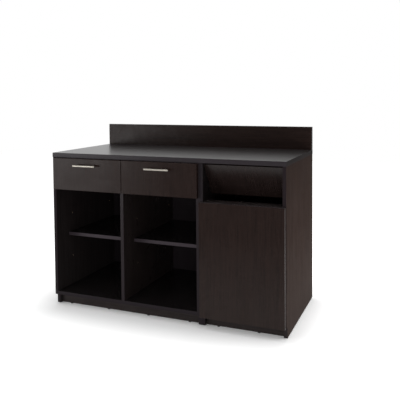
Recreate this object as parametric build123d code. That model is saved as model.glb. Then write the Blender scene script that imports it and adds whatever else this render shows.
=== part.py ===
"""Kitchen base cabinet: a two-bay drawer unit and a waste unit under one countertop.

Built in millimetres. While the pieces are made, x runs from the left end to the right, y from the
front edges of the side panels to the back, and z up from the floor. The last step moves everything so
that the origin is the centre of the bounding box on the floor.
"""
from build123d import *
import math
import os

os.makedirs("parts", exist_ok=True)

# Overall sizes
LEFT_WIDTH = 914.0
RIGHT_WIDTH = 458.0
WIDTH = LEFT_WIDTH + RIGHT_WIDTH
DEPTH = 610.0
BOARD = 19.0
GLIDE_HEIGHT = 6.0
GLIDE_RADIUS = 8.5
TOP_THICKNESS = 25.0
COUNTER_Z = 882.0
CASE_TOP = COUNTER_Z - TOP_THICKNESS
BACKSPLASH_HEIGHT = 134.0
COUNTER_SIDE_OVERHANG = 1.0
COUNTER_FRONT_OVERHANG = 2.0

# Case details
KICK_HEIGHT = 61.0
NOTCH_DEPTH = 19.0
KICK_SETBACK = 38.0
BACK_THICKNESS = 6.0
RABBET_WIDTH = 10.0
INNER_DEPTH = DEPTH - BACK_THICKNESS
STRETCHER_DEPTH = 80.0
BOTTOM_TOP = KICK_HEIGHT + BOARD
DIVIDER_CENTRE = 452.0
DIVIDER_X = DIVIDER_CENTRE - BOARD / 2
DIVIDER_HOLE_DEPTH = 9.0
FRONT_EDGE_EASING = 1.0
COUNTER_EDGE_EASING = 1.2

# Fastenings
BOLT_RADIUS = 4.0
BOLT_HEAD_RADIUS = 7.0
BOLT_HEAD = 2.0
BOLT_SPOTS = ((100.0, 140.0), (500.0, 140.0), (100.0, 600.0), (500.0, 600.0))
SCREW_RADIUS = 2.25
SCREW_HEAD_RADIUS = 4.5
SCREW_HEAD = 2.0
SCREW_BITE = 14.0
FRONT_SCREW_Y = STRETCHER_DEPTH / 2
REAR_SCREW_Y = INNER_DEPTH - STRETCHER_DEPTH / 2
LEFT_SCREW_XS = (120.0, DIVIDER_CENTRE, 794.0)
RIGHT_SCREW_XS = (1003.0, 1283.0)
SCREWS = {
    "left_front": [(x, FRONT_SCREW_Y) for x in LEFT_SCREW_XS],
    "left_rear": [(x, REAR_SCREW_Y) for x in LEFT_SCREW_XS],
    "right_rear": [(x, REAR_SCREW_Y) for x in RIGHT_SCREW_XS],
}
HEAD_RELIEF_RADIUS = 5.0
HEAD_RELIEF_DEPTH = 5.0
DOWEL_RADIUS = 4.0
DOWEL_DOWN = 12.0
DOWEL_UP = 22.0
DOWEL_SPOTS = (60.0, 480.0, 892.0, 1312.0)

# Small round pieces and holes that repeat are drawn with this many flat sides
PEG_SIDES = 10
GLIDE_SIDES = 12

# Floor glides
GLIDE_CHAMFER = 1.5
KICK_GLIDE_XS = (80.0, 331.0, 583.0, 834.0, 998.0, 1218.0)
PANEL_GLIDE_YS = (40.0, 570.0)

# Shelves and their pins
PIN_RADIUS = 2.5
PIN_HOLE_DEPTH = 10.0
PIN_REACH = 9.0
PIN_BITE = 8.0
PIN_LEVELS = (250.0, 378.0, 506.0)
PIN_LEVEL_USED = 378.0
PIN_COLUMNS = (148.0, 548.0)
SHELF_FRONT = 110.0
SHELF_GAP = 1.0
SHELF_BACK_GAP = 2.0

# Drawers
FRONT_THICKNESS = 19.0
FRONT_GAP = 2.0
FRONT_BOTTOM = 676.0
FRONT_TOP = 854.0
FRONT_LEFT_REVEAL = 16.0
FRONT_RIGHT_REVEAL = 6.0
FRONT_MIDDLE_GAP = 3.0
SLIDE_THICKNESS = 12.7
SLIDE_LENGTH = 500.0
SLIDE_Z = 745.0
SLIDE_START = 3.0
SLIDE_STEEL = 1.2
SLIDE_STOP_REACH = 9.0
SLIDE_STOP_HALF_HEIGHT = 8.0
SLIDE_SCREW_HOLE_RADIUS = 2.3
CABINET_MEMBER_SCREW_YS = (40.0, 240.0, 460.0)
DRAWER_MEMBER_SCREW_YS = (40.0, 240.0, 440.0)
DRAWER_MEMBER_SHORTER = 4.0
MIDDLE_MEMBER_INSET = 4.0
MIDDLE_MEMBER_BACK_GAP = 6.0
MIDDLE_WINDOW_CENTRES = (140.0, 360.0)
MIDDLE_WINDOW_HALF_LENGTH = 50.0
MIDDLE_WINDOW_HALF_HEIGHT = 6.0
BOX_BOARD = 12.0
BOX_BOTTOM = 700.0
BOX_HEIGHT = 130.0
BOX_LENGTH = 498.0
BOX_FLOOR_THICKNESS = 6.0
BOX_FLOOR_UP = 10.0
BOX_GROOVE = 5.0
PULL_LENGTH = 142.0
PULL_SPACING = 96.0
PULL_RADIUS = 5.0
PULL_POST_RADIUS = 4.0
PULL_PROJECTION = 28.0
PULL_END_CHAMFER = 0.8
PULL_Z = 817.0

# Waste unit
DOOR_REVEAL = 3.0
DOOR_BOTTOM = 60.0
DOOR_TOP = 657.0
LEDGE_DEPTH = 75.0
DEFLECTOR_THICKNESS = 16.0
DEFLECTOR_TOP_Y = 10.0
DEFLECTOR_BOTTOM_Y = 120.0
DEFLECTOR_BOTTOM_Z = 682.0
CLEAT = 19.0
CLEAT_START = 25.0
CLEAT_END = 180.0
BUMPER_RADIUS = 4.0
BUMPER_THICKNESS = 1.5
BUMPER_ABOVE_DOOR_BOTTOM = 20.0
BUMPER_BELOW_DOOR_TOP = 9.5

# Concealed hinges. u runs inwards from the outer face of the right panel, v forwards from its front edge.
HINGE_LEVELS = (155.0, 562.0)
ARM_PIVOT = (28.0, -4.0)
CUP_PIVOT = (12.0, 6.0)
HINGE_PIN_RADIUS = 1.5
RUNNING_GAP = 0.05
CUP_RADIUS = 17.5
CUP_DEPTH = 11.5
CUP_WALL = 1.0
CUP_CENTRE_U = 24.0
CUP_BORE_DEPTH = 12.0
CUP_PIN_LENGTH = 22.0
FLANGE_THICKNESS = 1.2
FLANGE_US = (10.5, 43.0)
FLANGE_HALF_HEIGHT = 27.0
FLANGE_CORNER = 4.0
LINK_HALF_WIDTH = 5.0
LINK_HALF_THICKNESS = 1.2
LINK_BEND = ((4.0, 5.6), (16.5, 5.6))
ARM_EYE_RADIUS = 2.8
CUP_EYE_RADIUS = 2.6
CHEEK_THICKNESS = 1.5
CHEEK_GAP = 0.3
CHEEK_EYE_RADIUS = 3.2
CHEEK_OUTLINE = ((24.8, -4.0), (31.2, -4.0), (33.0, -16.0), (33.0, -76.0), (24.8, -76.0))
WEB_US = (31.5, 33.0)
WEB_YS = (16.0, 76.0)
PLATE_US = (19.0, 21.5)
PLATE_YS = (26.0, 54.0)
PLATE_HALF_HEIGHT = 24.0
PLATE_CORNER = 5.0
RAIL_US = (21.5, 31.5)
RAIL_END_Y = 70.0
RAIL_HALF_HEIGHT = 5.2

# Everything is shifted by this at the end
SHIFT = (-WIDTH / 2, -(DEPTH - (FRONT_GAP + FRONT_THICKNESS + PULL_PROJECTION)) / 2, 0.0)


def board(x0, x1, y0, y1, z0, z1):
    """A plain board between two corners."""
    return Pos((x0 + x1) / 2, (y0 + y1) / 2, (z0 + z1) / 2) * Box(x1 - x0, y1 - y0, z1 - z0)


def rod(x, y, z, radius, length, axis):
    """A round bar centred on a point and lying along X, Y or Z."""
    turn = {"X": Rot(0, 90, 0), "Y": Rot(90, 0, 0), "Z": Rot(0, 0, 0)}[axis]
    return Pos(x, y, z) * turn * Cylinder(radius, length)


def peg(x, y, z, radius, length, axis, sides=PEG_SIDES):
    """A rod with flat sides, for small round pieces and holes that repeat."""
    turn = {"X": Rot(0, 90, 0), "Y": Rot(90, 0, 0), "Z": Rot(0, 0, 0)}[axis]
    return Pos(x, y, z) * turn * extrude(RegularPolygon(radius, sides), amount=length / 2, both=True)


def profile_yz(points, x0, x1):
    """A shape drawn as (y, z) points and drawn out along X."""
    face = Plane.YZ * make_face(Polyline(*points, close=True))
    return Pos(x0, 0, 0) * extrude(face, amount=x1 - x0)


def group(solids):
    """Several separate solids that go into one file."""
    return Compound([s for shape in solids for s in shape.solids()])


def eased(solid, direction, radius):
    """Rounds the edges of the face that looks along a direction."""
    face = solid.faces().sort_by(direction)[-1]
    return fillet(face.edges(), radius)


def save(name, shape):
    export_step(Pos(*SHIFT) * shape, f"parts/{name}.step")


def at_hinge(u, v):
    """From the hinge's own directions to x and y."""
    return (WIDTH - u, -v)


def across_hinge(span):
    """Two distances u as two x values in rising order."""
    return sorted(WIDTH - u for u in span)


# Side panels

def side_panel(x0, inner_faces, bolt_holes):
    """A side panel with the toe notch, the rabbet for the back panel and the shelf-pin holes.

    inner_faces lists the faces with pin holes and rabbets as -1 for the left face and 1 for the right.
    """
    outline = [
        (0, CASE_TOP),
        (0, KICK_HEIGHT),
        (NOTCH_DEPTH, KICK_HEIGHT),
        (NOTCH_DEPTH, GLIDE_HEIGHT),
        (DEPTH, GLIDE_HEIGHT),
        (DEPTH, CASE_TOP),
    ]
    panel = profile_yz(outline, x0, x0 + BOARD)
    for side, with_pins in inner_faces:
        face_x = x0 if side < 0 else x0 + BOARD
        inside_x = face_x - side * RABBET_WIDTH
        panel -= board(
            min(face_x, inside_x),
            max(face_x, inside_x),
            INNER_DEPTH,
            DEPTH,
            KICK_HEIGHT,
            CASE_TOP,
        )
        if with_pins:
            for hole in pin_spots(face_x, side):
                panel -= hole
    for y, z in bolt_holes:
        panel -= peg(x0 + BOARD / 2, y, z, BOLT_RADIUS, BOARD, "X")
    return panel


def pin_spots(face_x, side):
    """Cutters for the rows of shelf-pin holes in one face."""
    for y in PIN_COLUMNS:
        for z in PIN_LEVELS:
            yield peg(face_x - side * PIN_HOLE_DEPTH / 2, y, z, PIN_RADIUS, PIN_HOLE_DEPTH, "X")


save("left_outer_side", side_panel(0, [(1, True)], ()))
save("left_inner_side", side_panel(LEFT_WIDTH - BOARD, [(-1, True)], BOLT_SPOTS))
save("right_inner_side", side_panel(LEFT_WIDTH, [(1, False)], BOLT_SPOTS))
save("right_outer_side", side_panel(WIDTH - BOARD, [(-1, False)], ()))

divider = board(DIVIDER_X, DIVIDER_X + BOARD, 0, INNER_DEPTH, BOTTOM_TOP, CASE_TOP - BOARD)
for side, face_x in ((-1, DIVIDER_X), (1, DIVIDER_X + BOARD)):
    # the two rows of holes stop short of each other inside the board
    for y in PIN_COLUMNS:
        for z in PIN_LEVELS:
            hole_x = face_x - side * DIVIDER_HOLE_DEPTH / 2
            divider -= peg(hole_x, y, z, PIN_RADIUS, DIVIDER_HOLE_DEPTH, "X")
# the middle countertop screws stand over the divider, so its top edge is relieved for their heads
for y in (FRONT_SCREW_Y, REAR_SCREW_Y):
    relief_z = CASE_TOP - BOARD - HEAD_RELIEF_DEPTH / 2
    divider -= peg(DIVIDER_CENTRE, y, relief_z, HEAD_RELIEF_RADIUS, HEAD_RELIEF_DEPTH, "Z")
save("divider", divider)

# Bottom boards, stretchers, toe kicks and backs of both units
for name, x0, x1 in (
    ("left", BOARD, LEFT_WIDTH - BOARD),
    ("right", LEFT_WIDTH + BOARD, WIDTH - BOARD),
):
    save(f"{name}_bottom_board", board(x0, x1, 0, INNER_DEPTH, KICK_HEIGHT, BOTTOM_TOP))
    save(
        f"{name}_toe_kick",
        board(x0, x1, KICK_SETBACK, KICK_SETBACK + BOARD, GLIDE_HEIGHT, KICK_HEIGHT),
    )
    save(
        f"{name}_back_panel",
        board(
            x0 - RABBET_WIDTH,
            x1 + RABBET_WIDTH,
            INNER_DEPTH,
            DEPTH,
            KICK_HEIGHT,
            CASE_TOP,
        ),
    )

def stretcher(x0, x1, span, screws):
    piece = board(x0, x1, span[0], span[1], CASE_TOP - BOARD, CASE_TOP)
    for x, y in screws:
        piece -= peg(x, y, CASE_TOP - BOARD / 2, SCREW_RADIUS, BOARD, "Z")
    return piece


left_span = (BOARD, LEFT_WIDTH - BOARD)
right_span = (LEFT_WIDTH + BOARD, WIDTH - BOARD)
front_strip = (0.0, STRETCHER_DEPTH)
rear_strip = (INNER_DEPTH - STRETCHER_DEPTH, INNER_DEPTH)
save("left_front_stretcher", stretcher(*left_span, front_strip, SCREWS["left_front"]))
save("left_rear_stretcher", stretcher(*left_span, rear_strip, SCREWS["left_rear"]))
save("right_rear_stretcher", stretcher(*right_span, rear_strip, SCREWS["right_rear"]))

# Countertop and backsplash
counter_x0 = -COUNTER_SIDE_OVERHANG
counter_x1 = WIDTH + COUNTER_SIDE_OVERHANG
countertop = board(counter_x0, counter_x1, -COUNTER_FRONT_OVERHANG, DEPTH, CASE_TOP, COUNTER_Z)
front_edges = countertop.edges().filter_by(Axis.X).group_by(Axis.Y)[0]
countertop = fillet(front_edges, COUNTER_EDGE_EASING)

backsplash = board(counter_x0, counter_x1, DEPTH - BOARD, DEPTH, COUNTER_Z, COUNTER_Z + BACKSPLASH_HEIGHT)
top_front = backsplash.edges().filter_by(Axis.X).group_by(Axis.Z)[-1]
backsplash = fillet(top_front, COUNTER_EDGE_EASING)
dowels = []
dowel_y = DEPTH - BOARD / 2
for x in DOWEL_SPOTS:
    lower = COUNTER_Z - DOWEL_DOWN
    upper = COUNTER_Z + DOWEL_UP
    dowel = peg(x, dowel_y, (lower + upper) / 2, DOWEL_RADIUS, upper - lower, "Z")
    countertop -= dowel
    backsplash -= dowel
    dowels.append(dowel)
save("backsplash_dowels", group(dowels))
save("backsplash", backsplash)

screws = []
for spots in SCREWS.values():
    for x, y in spots:
        shank_z = CASE_TOP + (SCREW_BITE - BOARD) / 2
        shank = peg(x, y, shank_z, SCREW_RADIUS, BOARD + SCREW_BITE, "Z")
        head = peg(x, y, CASE_TOP - BOARD - SCREW_HEAD / 2, SCREW_HEAD_RADIUS, SCREW_HEAD, "Z")
        countertop -= peg(x, y, CASE_TOP + SCREW_BITE / 2, SCREW_RADIUS, SCREW_BITE, "Z")
        screws.append(shank + head)
save("countertop_screws", group(screws))
save("countertop", countertop)

# Bolts that join the two units
bolts = []
for y, z in BOLT_SPOTS:
    bolt = peg(LEFT_WIDTH, y, z, BOLT_RADIUS, 2 * BOARD, "X")
    for side in (-1, 1):
        head_x = LEFT_WIDTH + side * (BOARD + BOLT_HEAD / 2)
        bolt += peg(head_x, y, z, BOLT_HEAD_RADIUS, BOLT_HEAD, "X")
    bolts.append(bolt)
save("unit_bolts", group(bolts))

# Shelves and pins
bays = ((BOARD, DIVIDER_X), (DIVIDER_X + BOARD, LEFT_WIDTH - BOARD))
shelf_under = PIN_LEVEL_USED + PIN_RADIUS
pins = []
for name, (x0, x1) in zip(("left", "right"), bays):
    shelf = board(
        x0 + SHELF_GAP,
        x1 - SHELF_GAP,
        SHELF_FRONT,
        INNER_DEPTH - SHELF_BACK_GAP,
        shelf_under,
        shelf_under + BOARD,
    )
    save(f"{name}_shelf", shelf)
    for face_x, side in ((x0, 1), (x1, -1)):
        for y in PIN_COLUMNS:
            pin_x = face_x + side * (PIN_REACH - PIN_BITE) / 2
            pins.append(peg(pin_x, y, PIN_LEVEL_USED, PIN_RADIUS, PIN_REACH + PIN_BITE, "X"))
save("shelf_pins", group(pins))

# Glides under the toe kicks and under the side panels
glides = []
kick_y = KICK_SETBACK + BOARD / 2
glide_spots = [(x, kick_y) for x in KICK_GLIDE_XS]
for panel_x in (0.0, LEFT_WIDTH - BOARD, LEFT_WIDTH, WIDTH - BOARD):
    for y in PANEL_GLIDE_YS:
        glide_spots.append((panel_x + BOARD / 2, y))
for x, y in glide_spots:
    pad = peg(x, y, GLIDE_HEIGHT / 2, GLIDE_RADIUS, GLIDE_HEIGHT, "Z", sides=GLIDE_SIDES)
    pad = chamfer(pad.faces().sort_by(Axis.Z)[0].edges(), GLIDE_CHAMFER)
    glides.append(pad)
save("floor_glides", group(glides))

# Waste unit: ledge, deflector and its cleats
save("ledge_board", board(*right_span, 0, LEDGE_DEPTH, DOOR_TOP - BOARD, DOOR_TOP))

slope = (DEFLECTOR_BOTTOM_Y - DEFLECTOR_TOP_Y) / (CASE_TOP - DEFLECTOR_BOTTOM_Z)
lean = math.atan(slope)
back_off = DEFLECTOR_THICKNESS / math.cos(lean)
down_y, down_z = math.sin(lean), -math.cos(lean)
behind_y, behind_z = math.cos(lean), math.sin(lean)
# the board is cut square, so its front face starts a little below the countertop
square_cut = DEFLECTOR_THICKNESS * math.tan(lean)
deflector = profile_yz(
    [
        (DEFLECTOR_TOP_Y + down_y * square_cut, CASE_TOP + down_z * square_cut),
        (DEFLECTOR_BOTTOM_Y, DEFLECTOR_BOTTOM_Z),
        (
            DEFLECTOR_BOTTOM_Y + behind_y * DEFLECTOR_THICKNESS,
            DEFLECTOR_BOTTOM_Z + behind_z * DEFLECTOR_THICKNESS,
        ),
        (DEFLECTOR_TOP_Y + back_off, CASE_TOP),
    ],
    *right_span,
)
save("deflector_board", deflector)


def cleat_point(along, off):
    """A point measured down the back of the deflector and away from it."""
    y = DEFLECTOR_TOP_Y + back_off + down_y * along + behind_y * off
    z = CASE_TOP + down_z * along + behind_z * off
    return (y, z)


cleats = []
for x0 in (right_span[0], right_span[1] - CLEAT):
    corners = [
        cleat_point(CLEAT_START, 0),
        cleat_point(CLEAT_END, 0),
        cleat_point(CLEAT_END, CLEAT),
        cleat_point(CLEAT_START, CLEAT),
    ]
    cleats.append(profile_yz(corners, x0, x0 + CLEAT))
save("deflector_cleats", group(cleats))

# Telescopic slides. Sections are drawn from the cabinet's face (0) to the drawer's (12.7), as boxes
# given by (from, to, low, high) above the middle and mirrored below it.
CABINET_SECTION = [(0.0, 1.2, 0.0, 22.5), (0.0, 11.0, 21.3, 22.5), (9.8, 11.0, 18.6, 22.5)]
MIDDLE_SECTION = [(3.0, 4.2, 0.0, 17.0), (3.0, 11.0, 15.8, 17.0), (9.8, 11.0, 13.4, 17.0)]
DRAWER_SECTION = [(11.5, 12.7, 0.0, 12.5), (6.0, 12.7, 11.3, 12.5), (6.0, 7.2, 8.6, 12.5)]


def slide_member(face_x, side, section, y0, y1):
    """One member of a slide on a face at face_x that looks along side (1 right, -1 left)."""
    member = None
    for near, far, low, high in section:
        xs = sorted((face_x + side * near, face_x + side * far))
        for up in (1, -1):
            zs = sorted((SLIDE_Z + up * low, SLIDE_Z + up * high))
            piece = board(xs[0], xs[1], y0, y1, zs[0], zs[1])
            member = piece if member is None else member + piece
    return member


def screw_holes(face_x, side, ys, near):
    """Cutters for the screw holes in the flat web of a slide member."""
    x = face_x + side * (near + SLIDE_STEEL / 2)
    return [peg(x, y, SLIDE_Z, SLIDE_SCREW_HOLE_RADIUS, SLIDE_STEEL, "X") for y in ys]


for name, (x0, x1) in zip(("left", "right"), bays):
    cabinet_members, middle_members, drawer_members = [], [], []
    for face_x, side in ((x0, 1), (x1, -1)):
        end = SLIDE_START + SLIDE_LENGTH
        outer = slide_member(face_x, side, CABINET_SECTION, SLIDE_START, end)
        for hole in screw_holes(face_x, side, CABINET_MEMBER_SCREW_YS, CABINET_SECTION[0][0]):
            outer -= hole
        # bent stop at the back of the cabinet member
        stop_x = sorted((face_x + side * SLIDE_STEEL, face_x + side * SLIDE_STOP_REACH))
        stop_z = (SLIDE_Z - SLIDE_STOP_HALF_HEIGHT, SLIDE_Z + SLIDE_STOP_HALF_HEIGHT)
        outer += board(*stop_x, end - SLIDE_STEEL, end, *stop_z)
        cabinet_members.append(outer)
        middle_y = (SLIDE_START + MIDDLE_MEMBER_INSET, end - MIDDLE_MEMBER_BACK_GAP)
        middle = slide_member(face_x, side, MIDDLE_SECTION, *middle_y)
        window_x = sorted(face_x + side * reach for reach in MIDDLE_SECTION[0][:2])
        window_z = (SLIDE_Z - MIDDLE_WINDOW_HALF_HEIGHT, SLIDE_Z + MIDDLE_WINDOW_HALF_HEIGHT)
        for centre in MIDDLE_WINDOW_CENTRES:
            window_y = (centre - MIDDLE_WINDOW_HALF_LENGTH, centre + MIDDLE_WINDOW_HALF_LENGTH)
            middle -= board(*window_x, *window_y, *window_z)
        middle_members.append(middle)
        inner_end = BOX_LENGTH - DRAWER_MEMBER_SHORTER
        inner = slide_member(face_x, side, DRAWER_SECTION, SLIDE_START, inner_end)
        for hole in screw_holes(face_x, side, DRAWER_MEMBER_SCREW_YS, DRAWER_SECTION[0][0]):
            inner -= hole
        drawer_members.append(inner)
    save(f"{name}_slide_cabinet_members", group(cabinet_members))
    save(f"{name}_slide_middle_members", group(middle_members))
    save(f"{name}_slide_drawer_members", group(drawer_members))

# Drawers
front_y0 = -(FRONT_GAP + FRONT_THICKNESS)
front_y1 = -FRONT_GAP
front_end = LEFT_WIDTH - FRONT_RIGHT_REVEAL
front_middle = (FRONT_LEFT_REVEAL + front_end) / 2
front_spans = (
    (FRONT_LEFT_REVEAL, front_middle - FRONT_MIDDLE_GAP / 2),
    (front_middle + FRONT_MIDDLE_GAP / 2, front_end),
)
for name, (x0, x1), (f0, f1) in zip(("left", "right"), bays, front_spans):
    front = board(f0, f1, front_y0, front_y1, FRONT_BOTTOM, FRONT_TOP)
    save(f"{name}_drawer_front", eased(front, -Axis.Y, FRONT_EDGE_EASING))

    b0 = x0 + SLIDE_THICKNESS
    b1 = x1 - SLIDE_THICKNESS
    y0 = front_y1
    y1 = y0 + BOX_LENGTH
    z0 = BOX_BOTTOM
    z1 = BOX_BOTTOM + BOX_HEIGHT
    floor_z0 = z0 + BOX_FLOOR_UP
    floor_z1 = floor_z0 + BOX_FLOOR_THICKNESS
    floor = board(
        b0 + BOX_BOARD - BOX_GROOVE,
        b1 - BOX_BOARD + BOX_GROOVE,
        y0 + BOX_BOARD - BOX_GROOVE,
        y1 - BOX_BOARD + BOX_GROOVE,
        floor_z0,
        floor_z1,
    )
    save(f"{name}_drawer_floor", floor)
    save(f"{name}_drawer_left_side", board(b0, b0 + BOX_BOARD, y0, y1, z0, z1) - floor)
    save(f"{name}_drawer_right_side", board(b1 - BOX_BOARD, b1, y0, y1, z0, z1) - floor)
    inner = (b0 + BOX_BOARD, b1 - BOX_BOARD)
    save(f"{name}_drawer_sub_front", board(*inner, y0, y0 + BOX_BOARD, z0, z1) - floor)
    save(f"{name}_drawer_back", board(*inner, y1 - BOX_BOARD, y1, z0, z1) - floor)

    middle_x = (f0 + f1) / 2
    bar_y = front_y0 - PULL_PROJECTION + PULL_RADIUS
    bar = rod(middle_x, bar_y, PULL_Z, PULL_RADIUS, PULL_LENGTH, "X")
    bar = chamfer(bar.edges().filter_by(GeomType.CIRCLE), PULL_END_CHAMFER)
    posts = []
    for side in (-1, 1):
        post_x = middle_x + side * PULL_SPACING / 2
        post = rod(post_x, (front_y0 + bar_y) / 2, PULL_Z, PULL_POST_RADIUS, front_y0 - bar_y, "Y")
        posts.append(post - bar)
    save(f"{name}_pull_bar", bar)
    save(f"{name}_pull_posts", group(posts))

# Door with its hinge cups
door = board(LEFT_WIDTH + DOOR_REVEAL, WIDTH - DOOR_REVEAL, front_y0, front_y1, DOOR_BOTTOM, DOOR_TOP)
door = eased(door, -Axis.Y, FRONT_EDGE_EASING)
cup_x, _ = at_hinge(CUP_CENTRE_U, 0)
arm_pin_x, arm_pin_y = at_hinge(*ARM_PIVOT)
cup_pin_x, cup_pin_y = at_hinge(*CUP_PIVOT)
link_run = math.dist(ARM_PIVOT, CUP_PIVOT)
cups, cup_pins, links, arms, arm_pins, plates = [], [], [], [], [], []


def strip(points, half):
    """A bent strip of even thickness through 2-D points."""
    shape = None
    for (ax, ay), (bx, by) in zip(points, points[1:]):
        length = math.hypot(bx - ax, by - ay)
        turn = math.degrees(math.atan2(by - ay, bx - ax))
        piece = Pos((ax + bx) / 2, (ay + by) / 2) * Rot(0, 0, turn) * Rectangle(length, 2 * half)
        shape = piece if shape is None else shape + piece
    for x, y in points:
        shape += Pos(x, y) * Circle(half)
    return shape


def link_plan():
    """The link seen from above: two eyes and a neck that bends round the panel's corner."""
    ux = (CUP_PIVOT[0] - ARM_PIVOT[0]) / link_run
    uv = (CUP_PIVOT[1] - ARM_PIVOT[1]) / link_run

    def place(along, off):
        # off is positive on the side away from the panel's corner
        return at_hinge(ARM_PIVOT[0] + ux * along + uv * off, ARM_PIVOT[1] + uv * along - ux * off)

    path = [place(0, 0), *(place(*bend) for bend in LINK_BEND), place(link_run, 0)]
    plan = strip(path, LINK_HALF_THICKNESS)
    plan += Pos(*path[0]) * Circle(ARM_EYE_RADIUS)
    plan += Pos(*path[-1]) * Circle(CUP_EYE_RADIUS)
    for x, y in (path[0], path[-1]):
        plan -= Pos(x, y) * Circle(HINGE_PIN_RADIUS + RUNNING_GAP)
    return plan


def arm_plan():
    """One cheek of the arm seen from above."""
    plan = make_face(Polyline(*[at_hinge(u, v) for u, v in CHEEK_OUTLINE], close=True))
    plan += Pos(arm_pin_x, arm_pin_y) * Circle(CHEEK_EYE_RADIUS)
    plan -= Pos(arm_pin_x, arm_pin_y) * Circle(HINGE_PIN_RADIUS)
    return plan


cheek_end = LINK_HALF_WIDTH + CHEEK_GAP + CHEEK_THICKNESS
for z in HINGE_LEVELS:
    door -= rod(cup_x, front_y1 - CUP_BORE_DEPTH / 2, z, CUP_RADIUS, CUP_BORE_DEPTH, "Y")
    cup = rod(cup_x, front_y1 - CUP_DEPTH / 2, z, CUP_RADIUS, CUP_DEPTH, "Y")
    flange_z = (z - FLANGE_HALF_HEIGHT, z + FLANGE_HALF_HEIGHT)
    flange = board(*across_hinge(FLANGE_US), front_y1, front_y1 + FLANGE_THICKNESS, *flange_z)
    cup += fillet(flange.edges().filter_by(Axis.Y), FLANGE_CORNER)
    hollow_y0 = front_y1 - CUP_DEPTH + CUP_WALL
    hollow_y1 = front_y1 + FLANGE_THICKNESS
    hollow_y = (hollow_y0 + hollow_y1) / 2
    cup -= rod(cup_x, hollow_y, z, CUP_RADIUS - CUP_WALL, hollow_y1 - hollow_y0, "Y")
    pin = rod(cup_pin_x, cup_pin_y, z, HINGE_PIN_RADIUS, CUP_PIN_LENGTH, "Z")
    cups.append(cup - pin)
    cup_pins.append(pin)
    links.append(Pos(0, 0, z - LINK_HALF_WIDTH) * extrude(link_plan(), amount=2 * LINK_HALF_WIDTH))
    arm = board(*across_hinge(WEB_US), *WEB_YS, z - cheek_end, z + cheek_end)
    for low in (-cheek_end, cheek_end - CHEEK_THICKNESS):
        arm += Pos(0, 0, z + low) * extrude(arm_plan(), amount=CHEEK_THICKNESS)
    arms.append(arm)
    arm_pins.append(rod(arm_pin_x, arm_pin_y, z, HINGE_PIN_RADIUS, 2 * cheek_end, "Z"))
    plate_x = across_hinge(PLATE_US)
    rail_z = (z - RAIL_HALF_HEIGHT, z + RAIL_HALF_HEIGHT)
    plate = board(*plate_x, *PLATE_YS, z - PLATE_HALF_HEIGHT, z + PLATE_HALF_HEIGHT)
    plate = fillet(plate.edges().filter_by(Axis.X), PLATE_CORNER)
    plate += board(*across_hinge(RAIL_US), PLATE_YS[0], RAIL_END_Y, *rail_z)
    plate += board(*plate_x, PLATE_YS[1], RAIL_END_Y, *rail_z)
    plates.append(plate)

save("door_panel", door)
save("hinge_cups", group(cups))
save("hinge_cup_pins", group(cup_pins))
save("hinge_links", group(links))
save("hinge_arms", group(arms))
save("hinge_arm_pins", group(arm_pins))
save("hinge_plates", group(plates))

# Bumpers on the back of the door, on the side away from the hinges
bumpers = []
bumper_y = front_y1 + BUMPER_THICKNESS / 2
for z in (DOOR_BOTTOM + BUMPER_ABOVE_DOOR_BOTTOM, DOOR_TOP - BUMPER_BELOW_DOOR_TOP):
    bumpers.append(peg(LEFT_WIDTH + BOARD / 2, bumper_y, z, BUMPER_RADIUS, BUMPER_THICKNESS, "Y"))
save("door_bumpers", group(bumpers))
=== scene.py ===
import math

import bmesh
import bpy
from mathutils import Matrix, Vector


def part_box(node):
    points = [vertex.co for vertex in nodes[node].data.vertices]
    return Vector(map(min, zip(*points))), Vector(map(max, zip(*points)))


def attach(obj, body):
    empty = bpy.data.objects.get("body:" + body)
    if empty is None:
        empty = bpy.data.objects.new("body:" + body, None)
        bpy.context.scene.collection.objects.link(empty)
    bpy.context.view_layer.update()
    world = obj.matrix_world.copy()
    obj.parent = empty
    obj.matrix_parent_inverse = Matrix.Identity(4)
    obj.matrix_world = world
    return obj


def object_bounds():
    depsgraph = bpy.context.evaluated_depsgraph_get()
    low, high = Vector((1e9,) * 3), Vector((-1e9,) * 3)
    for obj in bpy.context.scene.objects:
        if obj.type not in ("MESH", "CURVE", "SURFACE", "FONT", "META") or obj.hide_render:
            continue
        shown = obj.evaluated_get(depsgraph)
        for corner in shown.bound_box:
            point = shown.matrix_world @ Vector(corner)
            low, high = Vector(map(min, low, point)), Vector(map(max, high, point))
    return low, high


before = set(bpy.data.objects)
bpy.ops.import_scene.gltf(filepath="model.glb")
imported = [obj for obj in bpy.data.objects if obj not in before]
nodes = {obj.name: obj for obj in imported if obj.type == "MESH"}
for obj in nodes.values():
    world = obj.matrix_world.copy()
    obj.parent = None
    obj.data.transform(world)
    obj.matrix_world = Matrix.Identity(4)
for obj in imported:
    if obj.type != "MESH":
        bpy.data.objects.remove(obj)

cad_low, cad_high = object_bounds()

# Eased arrises of the boards, in metres
EASED_EDGE = 0.0007
EASED_EDGE_SEGMENTS = 2
EASED_EDGE_ANGLE = 50
WELD_REACH = 0.00002

# Laminate: how many times finer its grain is across the board than along it
GRAIN_STRETCH = 26.0

# Laminate: how strongly each mark covers what is under it
SLOW_BAND_SHARE = 0.35
SLOW_BAND_LIGHTER = 1.35
PORE_SHARE = 0.35
PORE_DARKER = 0.45
BANDING_SHARE = 0.8
CROWN_SHARE = 1.0
WORN_SHARE = 0.45
DUST_SHARE = 0.02
SMUDGE_SPREAD = 0.06
STREAK_RISE = 0.4
PORE_DIP = 1.0
LAMINATE_RELIEF = 0.0002

# Clear coat: how far a face must look one way to have some of it, and all of it, and its weight there
COAT_FROM = 0.3
COAT_FULL = 0.9
COAT_UP = 1.0
COAT_FORWARD = 0.12
COAT_DENSITY = 1.45

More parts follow.
